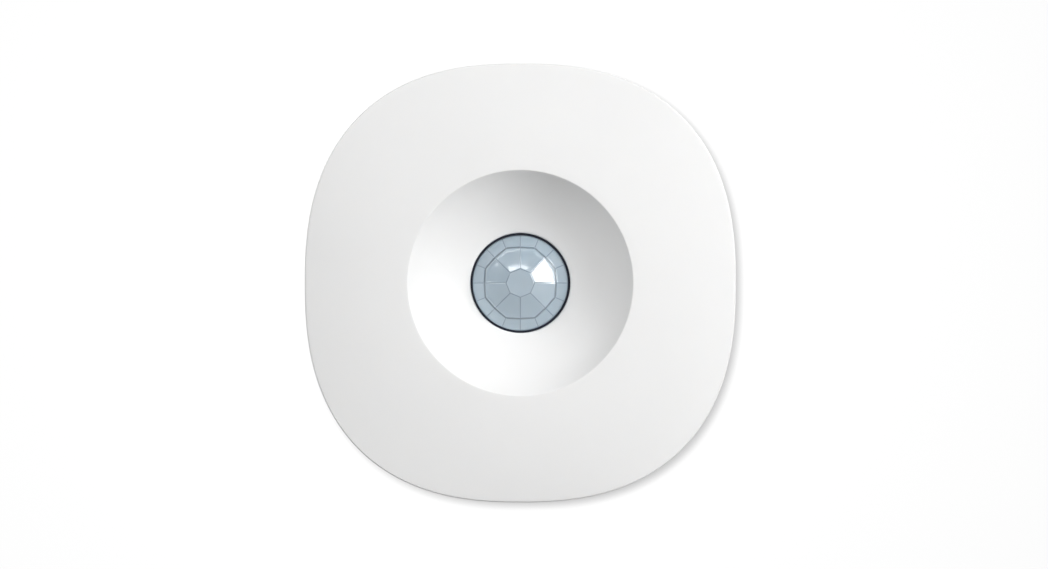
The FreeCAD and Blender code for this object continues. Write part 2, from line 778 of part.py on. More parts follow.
def negative_contact():
    """Arched strip under the cell, with a foot at each end."""
    thick = 0.2
    width = 2.6
    top = CELL_Z + CELL_T + 0.05
    near = [(5.8, BOARD_Z - thick), (4.3, BOARD_Z - thick), (1.6, top)]
    far = [(1.5, top + thick), (4.2, BOARD_Z), (5.8, BOARD_Z)]
    side = near + [(-x, z) for x, z in reversed(near)]
    side += [(-x, z) for x, z in reversed(far)] + far
    corners = [Vector(x, -width / 2, z) for x, z in side]
    face = Part.Face(Part.makePolygon(corners + [corners[0]]))
    return face.extrude(Vector(0, width, 0))


def cell_disc(radius, z0, z1):
    return disc(radius, z0, z1, (0, CELL_Y))


CAN_SHEET = 0.3
CAN_H = 4.4              # the can's crimped mouth lies this far from its flat side
CRIMP = 0.75             # how far the crimp reaches in
GASKET_T = 0.18
CAP_R = CELL_R - CRIMP - GASKET_T - 0.04


def cell_can():
    cup = cell_disc(CELL_R, CELL_Z, CELL_Z + CAN_H)
    cup = cup.makeFillet(0.5, level_edges(cup, CELL_Z))
    cup = cup.cut(cell_disc(CELL_R - CAN_SHEET, CELL_Z + CAN_SHEET, CELL_Z + CAN_H - CAN_SHEET))
    return cup.cut(cell_disc(CELL_R - CRIMP, CELL_Z + CAN_H - 0.4, CELL_Z + CELL_T))


def cell_gasket():
    foot_r = CELL_R - CAN_SHEET - 0.02
    lip_r = CELL_R - CRIMP - 0.02
    foot_top = CELL_Z + CAN_H - CAN_SHEET - 0.02
    foot = cell_disc(foot_r, CELL_Z + CAN_SHEET + 0.02, foot_top)
    lip = cell_disc(lip_r, foot_top - 0.08, CELL_Z + CAN_H + 0.1)
    return fused(foot, lip).cut(cell_disc(lip_r - GASKET_T, 0, CELL_Z + CELL_T))


def cell_cap():
    top = CELL_Z + CELL_T
    cap = cell_disc(CAP_R, CELL_Z + 0.8, top)
    cap = cap.makeFillet(0.45, level_edges(cap, top))
    return cap.cut(cell_disc(CAP_R - CAN_SHEET, 0, top - CAN_SHEET))


def cell_electrodes():
    """Pressed stack of electrodes and separator, taken as one disc."""
    return cell_disc(CAP_R - 0.43, CELL_Z + CAN_SHEET + 0.02, CELL_Z + CELL_T - 0.75)


# ---------------------------------------------------------------- everything, by node name
def main():
    os.makedirs("parts", exist_ok=True)
    save("wall_plate", wall_plate())
    save("plate_magnet", plate_magnet())
    save("adhesive_pad", adhesive_pad())
    save("rear_cover", rear_cover())
    save("keeper_disc", keeper_disc())
    save("pair_button", pair_button())
    save("front_housing", front_housing())
    save("lens", lens())
    save("lens_gasket", lens_gasket())
    save("lens_retainer", lens_retainer())
    save("pir_insulator", pir_insulator())
    save("pir_header", pir_header())
    save("pir_leads", *pir_leads())
    save("pir_can", pir_can())
    save("pir_filter", pir_filter())
    save("pyro_element", *pyro_element())
    save("main_board", main_board())
    save("board_screws", *board_screws())
    save("radio_board", radio_board())
    save("radio_shield", radio_shield())
    save("antenna", antenna())
    save("signal_processor", signal_processor())
    save("clock_crystal", clock_crystal())
    save("storage_capacitor", storage_capacitor())
    save("chip_capacitors", *chip_capacitors())
    save("chip_resistors", *chip_resistors())
    save("status_led", status_led())
    save("light_sensor", light_sensor())
    save("switch_body", switch_body())
    save("switch_cover", switch_cover())
    save("switch_plunger", switch_plunger())
    save("switch_terminals", *switch_terminals())
    save("battery_holder", battery_holder())
    save("positive_contact", *positive_contact())
    save("negative_contact", negative_contact())
    save("cell_can", cell_can())
    save("cell_gasket", cell_gasket())
    save("cell_cap", cell_cap())
    save("cell_electrodes", cell_electrodes())


main()
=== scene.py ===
"""Looks of a small wall-mounted infrared motion sensor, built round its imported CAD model.

Shapes are worked out in the CAD's working frame in millimetres: X to the right and Y up as seen
from the front, Z out of the wall. place() turns a point into the row's frame, in metres.
"""

import json
import math
import bmesh
import bpy
from mathutils import Matrix, Vector


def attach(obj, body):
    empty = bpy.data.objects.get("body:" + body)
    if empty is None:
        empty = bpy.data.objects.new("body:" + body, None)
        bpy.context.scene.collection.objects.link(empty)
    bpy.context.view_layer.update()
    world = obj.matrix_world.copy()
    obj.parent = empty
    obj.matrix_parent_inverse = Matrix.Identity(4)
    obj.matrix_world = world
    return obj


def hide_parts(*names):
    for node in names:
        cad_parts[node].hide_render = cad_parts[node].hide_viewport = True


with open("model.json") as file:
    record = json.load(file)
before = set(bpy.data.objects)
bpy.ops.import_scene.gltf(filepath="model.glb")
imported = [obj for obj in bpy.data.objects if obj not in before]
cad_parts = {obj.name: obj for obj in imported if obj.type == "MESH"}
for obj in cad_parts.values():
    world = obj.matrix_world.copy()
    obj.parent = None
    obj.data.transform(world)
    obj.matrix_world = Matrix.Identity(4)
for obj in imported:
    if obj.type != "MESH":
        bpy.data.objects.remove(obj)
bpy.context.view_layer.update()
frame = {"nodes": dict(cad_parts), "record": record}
MM = 0.001

# ---------------------------------------------------------------- sizes shared with the CAD
HALF_W = 28.0
TALLER = 0.5             # the face is this much taller than wide, each way from its centre
SQUIRCLE = 2.46
WALL = 1.8
RIM_R = 14.6
RIM_Z = 23.8
FACE_SAG = 1.8
FACE_RIM_SLOPE = 0.425
FACE_EDGE_Z = RIM_Z - FACE_SAG
EDGE_R = 0.25
DISH_R = 15.75
DISH_ARC_X = 2.6
DISH_WALL = 1.7
BACK_Z = 1.2
PARTING_Z = 8.0
COVER_RIM_Z = 7.75
SIDE_REACH = 8.0
SIDE_POWER = 2.6
COVER_WALL = 1.6
TONGUE_TOP_Z = 10.6
LENS_R = 6.25
LENS_BORE_R = 6.55
LENS_RISE = 3.1
LENS_BASE_Z = 18.5
LENS_WALL = 0.65
LENS_CORE_R = 1.86
LENS_MID_R = 4.66
LENS_TIP_R = 4.93
LENS_FOOT_Z = 0.05
FLANGE_R = 7.6
SEAT_Z = 16.7
FLANGE_T = 0.8
BOARD_REAR_Z = 12.0
BOARD_Z = 13.0
BOARD_SCREWS = [(16.5, 14.5), (-16.5, 14.5), (0.0, -20.3)]
BUTTON_AT = (13.2, -13.2)
BUTTON_R = 2.25
PLATE_HALF = 13.0
PLATE_T = 3.4
PAD_T = 0.6
MAGNET_R = 5.0
PLATE_SCREWS = [(8.8, 0.0), (-8.8, 0.0)]
PLATE_SCREW_R = 1.9
POCKET_HALF = 13.35
POCKET_Z = 3.6
MESA_Z = 5.0
KEEPER_R = 8.0
STAKE_CIRCLE = 9.4       # the heat stakes stand on a circle of this radius
STAKE_R = 0.72
STAKE_HEAD_R = 1.2
STAKE_HEAD_Z = 14.6
STAKE_ANGLES = (90, 210, 330)
LEAD_CIRCLE = 2.54       # the detector's leads come through the board on this circle
LEAD_ANGLES = (45, 135, 225)

SPOKES = 256             # rings of the large shells have this many points
CUT_SHARP_FROM = math.radians(40)   # edges sharper than this stay sharp where something is cut


# ---------------------------------------------------------------- sections and rings
def place(x, y, z):
    """A point of the working frame, in the row's frame."""
    return Vector((x, -z, y)) * MM


def squircle(angle, half_w, half_h):
    """Radius of a rounded square in the direction angle."""
    across = abs(math.cos(angle)) / half_w
    up = abs(math.sin(angle)) / half_h
    return (across ** SQUIRCLE + up ** SQUIRCLE) ** (-1 / SQUIRCLE)


def ring_radius(angle, across, share, taller):
    """Radius of a ring that is round at share 0 and a rounded square at share 1."""
    if share == 0 or across == 0:
        return across
    return across + share * (squircle(angle, across, across + taller) - across)


def rounded(corners, closed=True, steps=4):
    """Section points (across, z, share, taller) through corners that also give a radius.

    A corner is (across, z, radius, share, taller); the last two may be left out.
    """
    corners = [tuple(c) + (0, 0)[: 5 - len(c)] for c in corners]
    points = []
    last = len(corners) - 1
    for i, (across, z, radius, share, taller) in enumerate(corners):
        if radius == 0 or (not closed and i in (0, last)):
            points.append((across, z, share, taller))
            continue
        here = Vector((across, z))
        to_before = (Vector(corners[i - 1][:2]) - here).normalized()
        to_after = (Vector(corners[(i + 1) % len(corners)][:2]) - here).normalized()
        half = math.acos(max(-1.0, min(1.0, to_before.dot(to_after)))) / 2
        start = here + to_before * radius / math.tan(half)
        end = here + to_after * radius / math.tan(half)
        centre = here + (to_before + to_after).normalized() * radius / math.sin(half)
        first = math.atan2(start.y - centre.y, start.x - centre.x)
        turn = math.atan2(end.y - centre.y, end.x - centre.x) - first
        turn = (turn + math.pi) % (2 * math.pi) - math.pi
        for k in range(steps + 1):
            a = first + turn * k / steps
            x, y = centre.x + radius * math.cos(a), centre.y + radius * math.sin(a)
            points.append((x, y, share, taller))
    return points


def add_rings(bm, points, centre=(0.0, 0.0), closed=True, spokes=SPOKES):
    """Quads through one ring per section point; a point on the axis becomes a pole."""
    rings = []
    for across, z, share, taller in points:
        if across == 0:
            rings.append([bm.verts.new(place(centre[0], centre[1], z))])
            continue
        ring = []
        for i in range(spokes):
            a = 2 * math.pi * i / spokes
            r = ring_radius(a, across, share, taller)
            x, y = centre[0] + r * math.cos(a), centre[1] + r * math.sin(a)
            ring.append(bm.verts.new(place(x, y, z)))
        rings.append(ring)
    pairs = list(zip(rings, rings[1:]))
    if closed:
        pairs.append((rings[-1], rings[0]))
    for low, high in pairs:
        for i in range(spokes):
            j = (i + 1) % spokes
            corners = [low[i % len(low)], low[j % len(low)]]
            corners += [high[j % len(high)], high[i % len(high)]]
            corners = list(dict.fromkeys(corners))      # a pole comes twice
            if len(corners) > 2:
                bm.faces.new(corners)


def finish_mesh(bm, name, weighted=True):
    """Turns a bmesh into a smooth-shaded object whose large faces stay flat."""
    bmesh.ops.recalc_face_normals(bm, faces=bm.faces)
    mesh = bpy.data.meshes.new(name)
    bm.to_mesh(mesh)
    bm.free()
    obj = bpy.data.objects.new(name, mesh)
    bpy.context.scene.collection.objects.link(obj)
    mesh.shade_smooth()
    if weighted:
        weigh_normals(obj)
    return obj


def apply_modifiers(obj):
    """Puts the mesh that the modifiers make in place of the object's own."""
    bpy.context.view_layer.update()
    evaluated = obj.evaluated_get(bpy.context.evaluated_depsgraph_get())
    mesh = bpy.data.meshes.new_from_object(evaluated)
    obj.modifiers.clear()
    obj.data = mesh


def weigh_normals(obj):
    """Shades large faces flat and bends the light over the small ones beside them."""
    weight = obj.modifiers.new("weight", "WEIGHTED_NORMAL")
    weight.keep_sharp = True
    apply_modifiers(obj)


def carve(obj, cutters):
    """Cuts each cutter out of obj, and removes the cutters."""
    for cutter in cutters:
        cut = obj.modifiers.new("cut", "BOOLEAN")
        cut.operation = "DIFFERENCE"
        cut.solver = "EXACT"
        cut.object = cutter
    apply_modifiers(obj)
    for cutter in cutters:
        bpy.data.objects.remove(cutter)
    obj.data.set_sharp_from_angle(angle=CUT_SHARP_FROM)
    weigh_normals(obj)


def cylinder(name, radius, z0, z1, at):
    """A round cutter."""
    bm = bmesh.new()
    points = [(0, z0, 0, 0), (radius, z0, 0, 0), (radius, z1, 0, 0), (0, z1, 0, 0)]
    add_rings(bm, points, at, closed=False, spokes=64)
    return finish_mesh(bm, name, weighted=False)


def box_cutter(name, width, height, z0, z1, at):
    """A square-edged cutter."""
    bm = bmesh.new()
    size = Matrix.Diagonal((width * MM, (z1 - z0) * MM, height * MM, 1))
    middle = Matrix.Translation(place(*at, (z0 + z1) / 2))
    bmesh.ops.create_cube(bm, size=1, matrix=middle @ size)
    return finish_mesh(bm, name, weighted=False)


# ---------------------------------------------------------------- the body's curves
def face_height(k):
    """Height of the face at share k of the way from the recess's rim to the face's edge."""
    return RIM_Z - FACE_SAG * (FACE_RIM_SLOPE * k + (1 - FACE_RIM_SLOPE) * k * k)


def side_angle(z):
    """The side curve's parameter at a height, which side_point() takes."""
    share = (FACE_EDGE_Z - z) / (FACE_EDGE_Z - BACK_Z)
    return math.asin(min(1.0, share ** (SIDE_POWER / 2)))


def side_point(phi, wall=0.0):
    """(half width, height) on the side's curve, moved inwards by wall along its normal."""
    def on_curve(p):
        share = math.sin(p) ** (2 / SIDE_POWER)
        kept = max(0.0, math.cos(p)) ** (2 / SIDE_POWER)
        return HALF_W - SIDE_REACH * (1 - kept), FACE_EDGE_Z - (FACE_EDGE_Z - BACK_Z) * share

    across, z = on_curve(phi)
    step = 0.01
    high = on_curve(max(0.0, phi - step))
    low = on_curve(min(math.pi / 2, phi + step))
    run, fall = high[0] - low[0], high[1] - low[1]
    length = math.hypot(run, fall)
    return across - wall * fall / length, z + wall * run / length


def side_points(z_from, z_to, count, wall=0.0):
    """Corners on the side's curve, to go into rounded()."""
    first, last = side_angle(z_from), side_angle(z_to)
    corners = []
    for i in range(count):
        across, z = side_point(first + (last - first) * i / (count - 1), wall)
        corners.append((across, z, 0, 1, TALLER))
    return corners


def dish_angle(radius):
    """Angle round the dish arc's centre, from straight down, at a radius."""
    return math.asin((radius - DISH_ARC_X) / DISH_R)


DISH_ARC_Z = RIM_Z + DISH_R * math.cos(dish_angle(RIM_R))


def dish_points(phi_from, phi_to, count, wall=0.0):
    """Corners along the dish's arc, without its two ends."""
    corners = []
    for i in range(1, count):
        phi = phi_from + (phi_to - phi_from) * i / count
        reach = DISH_R + wall
        corners.append((DISH_ARC_X + reach * math.sin(phi), DISH_ARC_Z - reach * math.cos(phi), 0))
    return corners


DISH_FLOOR_Z = DISH_ARC_Z - DISH_R * math.cos(dish_angle(LENS_BORE_R))


# ---------------------------------------------------------------- shells
def face_edge():
    """Corners of the rounding between the face and the side."""
    slope = math.atan(FACE_SAG * (2 - FACE_RIM_SLOPE) / (HALF_W - RIM_R))
    centre_z = FACE_EDGE_Z + EDGE_R * math.tan(slope) - EDGE_R / math.cos(slope)
    corners = []
    steps = 10
    for i in range(steps + 1):
        a = (math.pi / 2 - slope) * (1 - i / steps)
        across = HALF_W - EDGE_R + EDGE_R * math.cos(a)
        corners.append((across, centre_z + EDGE_R * math.sin(a), 0, 1, TALLER))
    return corners


def front_section():
    """The front housing's section: lens bore, dish, face, side, and back over its inside."""
    corners = [(LENS_BORE_R, SEAT_Z, 0.05), (LENS_BORE_R, DISH_FLOOR_Z, 0.26)]
    corners += dish_points(dish_angle(LENS_BORE_R) + 0.025, dish_angle(RIM_R) - 0.012, 30)
    corners.append((RIM_R, RIM_Z, 0.18))
    edge = face_edge()
    face_run = (edge[0][0] - RIM_R) / (HALF_W - RIM_R)
    steps = 24
    for i in range(1, steps):
        k = i / steps
        across = RIM_R + k * (edge[0][0] - RIM_R)
        corners.append((across, face_height(k * face_run), 0, k, TALLER))
    corners += edge
    corners += side_points(20.4, PARTING_Z + 0.4, 14)
    outer = side_point(side_angle(PARTING_Z))[0]
    inner = side_point(side_angle(PARTING_Z), WALL)[0]
    corners += [(outer, PARTING_Z, 0.18, 1, TALLER), (inner, PARTING_Z, 0.12, 1, TALLER)]
    corners += side_points(PARTING_Z, 18.0, 9, WALL)
    corners.append((HALF_W - WALL, FACE_EDGE_Z - WALL, 0.5, 1, TALLER))
    for k in (0.7, 0.5, 0.3, 0.15):
        corners.append((RIM_R + k * (HALF_W - RIM_R), face_height(k) - WALL, 0, k, TALLER))
    back_reach = DISH_R + DISH_WALL
    roof_z = face_height(0) - WALL
    meet = math.acos((DISH_ARC_Z - roof_z) / back_reach)
    collar_r = 8.8
    collar = math.asin((collar_r - DISH_ARC_X) / back_reach)
    corners.append((DISH_ARC_X + back_reach * math.sin(meet), roof_z, 0.3))
    corners += dish_points(meet, collar, 14, DISH_WALL)
    collar_z = SEAT_Z - FLANGE_T
    pocket_r = FLANGE_R + 0.05
    corners.append((collar_r, DISH_ARC_Z - back_reach * math.cos(collar), 0.3))
    corners += [(collar_r, collar_z, 0.12), (pocket_r, collar_z, 0.08), (pocket_r, SEAT_Z, 0.04)]
    return corners


def front_housing():
    """The front shell with its posts for the board's screws and the heat stakes for the ring."""
    bm = bmesh.new()
    add_rings(bm, rounded(front_section()))
    post_top = 21.6
    post = [(1.0, BOARD_Z, 0.12), (2.4, BOARD_Z, 0.12), (2.5, post_top, 0), (1.0, post_top, 0)]
    for at in BOARD_SCREWS:
        add_rings(bm, rounded(post), at, spokes=48)
    neck_z = STAKE_HEAD_Z + 0.49
    root_z = SEAT_Z + 2.0
    stake = [(0, STAKE_HEAD_Z, 0), (STAKE_HEAD_R, STAKE_HEAD_Z, 0.2), (STAKE_HEAD_R, neck_z, 0.1)]
    stake += [(STAKE_R, neck_z, 0.03), (STAKE_R, root_z, 0), (0, root_z, 0)]
    for angle in STAKE_ANGLES:
        a = math.radians(angle)
        at = (STAKE_CIRCLE * math.cos(a), STAKE_CIRCLE * math.sin(a))
        add_rings(bm, rounded(stake, closed=False), at, closed=False, spokes=40)
    return finish_mesh(bm, "front_shell")


def cover_section():
    """The rear cover's section, from the roof of its pocket outwards and back over its inside."""
    keeper = KEEPER_R + 0.05
    keeper_z = 4.4
    corners = [(0, keeper_z, 0), (keeper, keeper_z, 0.06), (keeper, POCKET_Z, 0.08)]
    corners += [(POCKET_HALF, POCKET_Z, 0.15, 1, 0), (POCKET_HALF, BACK_Z, 0.25, 1, 0)]
    back_width = HALF_W - SIDE_REACH - POCKET_HALF     # of the flat back beside the pocket
    for k in (0.35, 0.7):
        corners.append((POCKET_HALF + k * back_width, BACK_Z, 0, 1, TALLER * k))
    corners += side_points(BACK_Z, COVER_RIM_Z - 0.35, 26)
    rim_outer = side_point(side_angle(COVER_RIM_Z))[0]
    rim_inner = side_point(side_angle(COVER_RIM_Z), COVER_WALL)[0]
    tongue_outer = side_point(side_angle(PARTING_Z), WALL)[0] - 0.2
    tongue_inner = tongue_outer - 1.2
    for across, z, radius in (
        (rim_outer, COVER_RIM_Z, 0.15),
        (rim_inner, COVER_RIM_Z, 0.08),
        (rim_inner - 0.05, 6.9, 0.05),
        (tongue_outer, 6.8, 0.05),
        (tongue_outer, TONGUE_TOP_Z, 0.35),
        (tongue_inner, TONGUE_TOP_Z, 0.2),
    ):
        corners.append((across, z, radius, 1, TALLER))
    inside = side_points(5.0, BACK_Z, 14, COVER_WALL)
    corners += [c for c in inside if c[0] < tongue_inner - 0.1]
    mesa = POCKET_HALF + 1.4                    # the raised floor over the pocket
    corners += [(mesa, BACK_Z + COVER_WALL, 0.3, 1, 0), (mesa, MESA_Z, 0.3, 1, 0), (0, MESA_Z, 0)]
    return corners


def rear_cover():
    """The rear shell with the button's hole and collar, and the notch to prise it off by."""
    bm = bmesh.new()
    add_rings(bm, rounded(cover_section(), closed=False), closed=False)
    obj = finish_mesh(bm, "back_shell", weighted=False)
    bore_r = BUTTON_R + 0.6
    hole = cylinder("hole", BUTTON_R + 0.15, 0, MESA_Z + 1, BUTTON_AT)
    bore = cylinder("bore", bore_r, BACK_Z + COVER_WALL, MESA_Z + 1, BUTTON_AT)
    notch = box_cutter("notch", 9.0, 3.0, COVER_RIM_Z - 0.9, COVER_RIM_Z + 0.1, (0, -27.9))
    carve(obj, [hole, bore, notch])
    bm = bmesh.new()
    bm.from_mesh(obj.data)
    collar_r, collar_z = 3.6, 2.4
    collar = [(bore_r, collar_z, 0), (bore_r, MESA_Z, 0.15)]
    collar += [(collar_r, MESA_Z, 0.15), (collar_r, collar_z, 0)]
    add_rings(bm, rounded(collar), BUTTON_AT, spokes=64)
    bpy.data.objects.remove(obj)
    return finish_mesh(bm, "back_shell")


def wall_plate():
    """The wall plate with its pad recess, magnet pocket and two countersunk screw holes."""
    bm = bmesh.new()
    recess = PLATE_HALF - 0.8
    magnet = MAGNET_R + 0.05
    magnet_z = PLATE_T - 2.05
    corners = [(0, PAD_T, 0), (recess, PAD_T, 0.08, 1, 0), (recess, 0, 0.1, 1, 0)]
    corners += [(PLATE_HALF, 0, 0.15, 1, 0), (PLATE_HALF, PLATE_T, 0.5, 1, 0)]
    corners += [(magnet, PLATE_T, 0.1), (magnet, magnet_z, 0.05), (0, magnet_z, 0)]
    add_rings(bm, rounded(corners, closed=False), closed=False, spokes=192)
    obj = finish_mesh(bm, "plate_moulding", weighted=False)
    cutters = []
    sink_z, clear_z = PLATE_T - 1.4, PLATE_T + 0.1
    cone = [(0, sink_z, 0, 0), (PLATE_SCREW_R, sink_z, 0, 0)]
    cone += [(PLATE_SCREW_R + clear_z - sink_z, clear_z, 0, 0), (0, clear_z, 0, 0)]
    for at in PLATE_SCREWS:
        cutters.append(cylinder("screw_hole", PLATE_SCREW_R, -1, PLATE_T + 1, at))
        sink = bmesh.new()
        add_rings(sink, cone, at, closed=False, spokes=64)
        cutters.append(finish_mesh(sink, "countersink", weighted=False))
    carve(obj, cutters)
    bm = bmesh.new()
    bm.from_mesh(obj.data)
    boss_r, boss_z = 3.0, 0.7
    boss = [(PLATE_SCREW_R, 0, 0.08), (PLATE_SCREW_R, boss_z, 0)]
    boss += [(boss_r, boss_z, 0), (boss_r, 0, 0.12)]
    for at in PLATE_SCREWS:
        add_rings(bm, rounded(boss), at, spokes=64)
    bpy.data.objects.remove(obj)
    return finish_mesh(bm, "plate_moulding")


# ---------------------------------------------------------------- lens
LENS_SPHERE = (LENS_R ** 2 + LENS_RISE ** 2) / (2 * LENS_RISE)
FACET_CROWN = 0.22       # share by which each facet bulges towards the sphere through its corners
# Half width and depth of the groove between two facets, then the distance from its middle, the
# half width and the height of the low lips beside it.
WIDE_GROOVE = (0.105, 0.12, 0.19, 0.045, 0.035)     # between the two rings of facets
FINE_GROOVE = (0.045, 0.03, 0.1, 0.04, 0.013)       # between any other two facets
BESIDE_FINE = (0.03, 0.06, 0.1, 0.14, 0.18)         # mesh lines beside a fine groove
BESIDE_WIDE = (0.05, 0.1, 0.145, 0.19, 0.235, 0.28)
FRESNEL_STEPS = 24       # fine saw-toothed rings inside the lens
FRESNEL_TOOTH = 0.06


def sphere_height(radius):
    """Height, over the lens's base, of the sphere that the facets' corners lie on."""
    return math.sqrt(LENS_SPHERE ** 2 - radius ** 2) - (LENS_SPHERE - LENS_RISE)


def polar(radius, degrees, height):
    """A point on the lens, in millimetres from its middle."""
    a = math.radians(degrees)
    return Vector((radius * math.cos(a), radius * math.sin(a), height))


def lens_planes():
    """(point, normal, ring) of the middle facet, the 8 round it and the 16 of the outer ring."""
    core_z = sphere_height(LENS_CORE_R)
    mid_z = sphere_height(LENS_MID_R)
    run = (LENS_MID_R - LENS_CORE_R) * math.cos(math.radians(22.5))
    slope = (core_z - mid_z) / run
    tip_z = mid_z - slope * (LENS_TIP_R - LENS_MID_R * math.cos(math.radians(22.5)))
    planes = [(Vector((0, 0, core_z)), Vector((0, 0, 1)), 0)]
    for i in range(8):
        a = 45 * i
        left = polar(LENS_MID_R, a, mid_z)
        right = polar(LENS_MID_R, a + 45, mid_z)
        tip = polar(LENS_TIP_R, a + 22.5, tip_z)
        for p, q, r, ring in (
            (polar(LENS_CORE_R, a, core_z), polar(LENS_CORE_R, a + 45, core_z), left, 1),
            (left, tip, polar(LENS_R, a + 11.25, LENS_FOOT_Z), 2),
            (tip, right, polar(LENS_R, a + 33.75, LENS_FOOT_Z), 2),
        ):
            normal = (q - p).cross(r - p).normalized()
            planes.append((p, normal if normal.z > 0 else -normal, ring))
    return planes


LENS_PLANES = lens_planes()


def lens_surface(x, y):
    """(height, groove) of the faceted dome: the lowest plane, crowned, with a groove along each
    edge; groove is 1 at its bottom and 0 away from it. A lip stands beside the groove, but not on
    the outer side of an edge between two rings."""
    found = []
    for point, normal, ring in LENS_PLANES:
        z = point.z - (normal.x * (x - point.x) + normal.y * (y - point.y)) / normal.z
        found.append((z, normal, ring))
    found.sort(key=lambda f: f[0])
    (low, first, ring), (second, other, other_ring) = found[0], found[1]
    tilt = (first / first.z - other / other.z).length
    distance = (second - low) / max(tilt, 1e-6)
    line = WIDE_GROOVE if {ring, other_ring} == {1, 2} else FINE_GROOVE
    width, depth, lip_at, lip_width, lip_height = line
    groove = math.exp(-(distance / width) ** 2)
    lip = 0 if ring > other_ring else math.exp(-((distance - lip_at) / lip_width) ** 2)
    radius = min(math.hypot(x, y), LENS_R)
    crown = FACET_CROWN * (sphere_height(radius) - low)
    return low + crown - depth * groove + lip_height * lip, groove


def core_boundary(angle):
    """Radius of the middle facet's eight-sided edge."""
    step = math.pi / 4
    into = angle % step
    return LENS_CORE_R * math.cos(step / 2) / math.cos(into - step / 2)


def mid_boundary(angle):
    """Radius of the sixteen-sided line between the two rings of facets."""
    step = math.pi / 4
    into = angle % step
    if into > step / 2:
        into = step - into
    left = Vector((LENS_MID_R, 0))
    tip = Vector((LENS_TIP_R * math.cos(step / 2), LENS_TIP_R * math.sin(step / 2)))
    edge = tip - left
    cross = left.x * edge.y - left.y * edge.x
    return cross / (math.cos(into) * edge.y - math.sin(into) * edge.x)


def lens_angles():
    """Spokes about every 2 degrees, with finer ones beside each radial facet edge."""
    angles = []
    step = 22.5
    beside = (0.35, 0.7, 1.1, 1.6, 2.4)
    for i in range(16):
        base = step * i
        angles += [base] + [base + d for d in beside]
        angles += [base + beside[-1] + (step - 2 * beside[-1]) * k / 8 for k in range(1, 8)]
        angles += [base + step - d for d in reversed(beside)]
    return [math.radians(a) for a in angles]


def both_sides(distances):
    """The distances to one side of a line, the line itself, and the distances to its other side."""
    return [-d for d in reversed(distances)] + [0] + list(distances)


def between(first, second, share):
    """The value at a share of the way from the first to the second."""
    return first + share * (second - first)


def lens_neck():
    """(radius, z) down the outside of the neck, round the flange and up over the inside."""
    foot_z = LENS_BASE_Z - 0.06
    flange_z = SEAT_Z - FLANGE_T
    inner_r = LENS_R - LENS_WALL
    break_r = 0.06           # the flange's edges are broken this far
    neck = [(LENS_R - 0.02, foot_z + 0.02), (LENS_R, foot_z - 0.08), (LENS_R, SEAT_Z + 0.02)]
    neck += [(LENS_R + 0.05, SEAT_Z), (FLANGE_R - break_r, SEAT_Z), (FLANGE_R, SEAT_Z - break_r)]
    neck += [(FLANGE_R, flange_z + break_r), (FLANGE_R - break_r, flange_z)]
    neck += [(inner_r + break_r, flange_z), (inner_r, flange_z + break_r)]
    neck.append((inner_r, LENS_BASE_Z - 0.1))
    for i in range(FRESNEL_STEPS):
        r = inner_r * (1 - (i + 0.15) / FRESNEL_STEPS)
        z = LENS_BASE_Z + sphere_height(r) * 0.86 - LENS_WALL * 0.45
        neck += [(r, z), (r - inner_r * 0.8 / FRESNEL_STEPS, z + FRESNEL_TOOTH)]
    return neck


def lens():
    """The lens, its outside meshed along the grooves, with the groove value on each vertex."""
    bm = bmesh.new()
    # the groove value is kept on each vertex so that the lens's material can paint shade along the
    # grooves
    groove_shade_layer = bm.verts.layers.float.new("groove")
    angles = lens_angles()

    def surface_ring(radius_at):
        ring = []
        for a in angles:
            r = radius_at(a)
            x, y = r * math.cos(a), r * math.sin(a)
            height, groove = lens_surface(x, y)
            ring.append(bm.verts.new(place(x, y, LENS_BASE_Z + max(height, 0.0))))
            ring[-1][groove_shade_layer] = groove
        return ring

    def core_out(a):
        return core_boundary(a) + BESIDE_FINE[-1]

    def mid_in(a):
        return mid_boundary(a) - BESIDE_WIDE[-1]

    def mid_out(a):
        return mid_boundary(a) + BESIDE_WIDE[-1]

    rings = []
    for k in (0.25, 0.5, 0.75):
        rings.append(surface_ring(lambda a: k * core_boundary(a)))
    for d in both_sides(BESIDE_FINE):
        rings.append(surface_ring(lambda a: core_boundary(a) + d))
    for k in (0.12, 0.25, 0.4, 0.55, 0.7, 0.85):
        rings.append(surface_ring(lambda a: between(core_out(a), mid_in(a), k)))
    for d in both_sides(BESIDE_WIDE):
        rings.append(surface_ring(lambda a: mid_boundary(a) + d))
    for k in (0.2, 0.4, 0.6, 0.8, 0.93):
        rings.append(surface_ring(lambda a: between(mid_out(a), LENS_R - 0.1, k)))

    neck = lens_neck()
    for r, z in neck:
        rings.append([bm.verts.new(place(r * math.cos(a), r * math.sin(a), z)) for a in angles])
    count = len(angles)
    for low, high in zip(rings, rings[1:]):
        for i in range(count):
            j = (i + 1) % count
            bm.faces.new((low[i], low[j], high[j], high[i]))
    top = bm.verts.new(place(0, 0, LENS_BASE_Z + lens_surface(0.0, 0.0)[0]))
    under = bm.verts.new(place(0, 0, neck[-1][1]))
    for pole, ring in ((top, rings[0]), (under, rings[-1])):
        for i in range(count):
            bm.faces.new((pole, ring[i], ring[(i + 1) % count]))
    return finish_mesh(bm, "lens_moulding", weighted=False)


def lens_gasket():
    """The thin near-black seal ring round the lens; its near-black also stands in for the shadow in
    the gap between lens and bore, as painted shade.
    """
    bm = bmesh.new()
    inner, outer = LENS_R + 0.01, LENS_BORE_R - 0.01
    top, bottom = DISH_FLOOR_Z - 0.32, SEAT_Z + 0.02
    corners = [(inner, bottom, 0.02), (inner, top, 0.1), (outer, top, 0.1), (outer, bottom, 0.02)]
    add_rings(bm, rounded(corners, steps=5))
    return finish_mesh(bm, "lens_seal_gap_shade")


# ---------------------------------------------------------------- CAD pieces with eased edges
WELD = 0.002                        # vertices closer than this, in millimetres, become one
FLAT = math.radians(1.0)            # faces that meet at less than this become one
BEVEL_FROM = math.radians(35)       # edges sharper than this get a bevel
SHARP_FROM = math.radians(50)       # edges sharper than this stay sharp in the shading


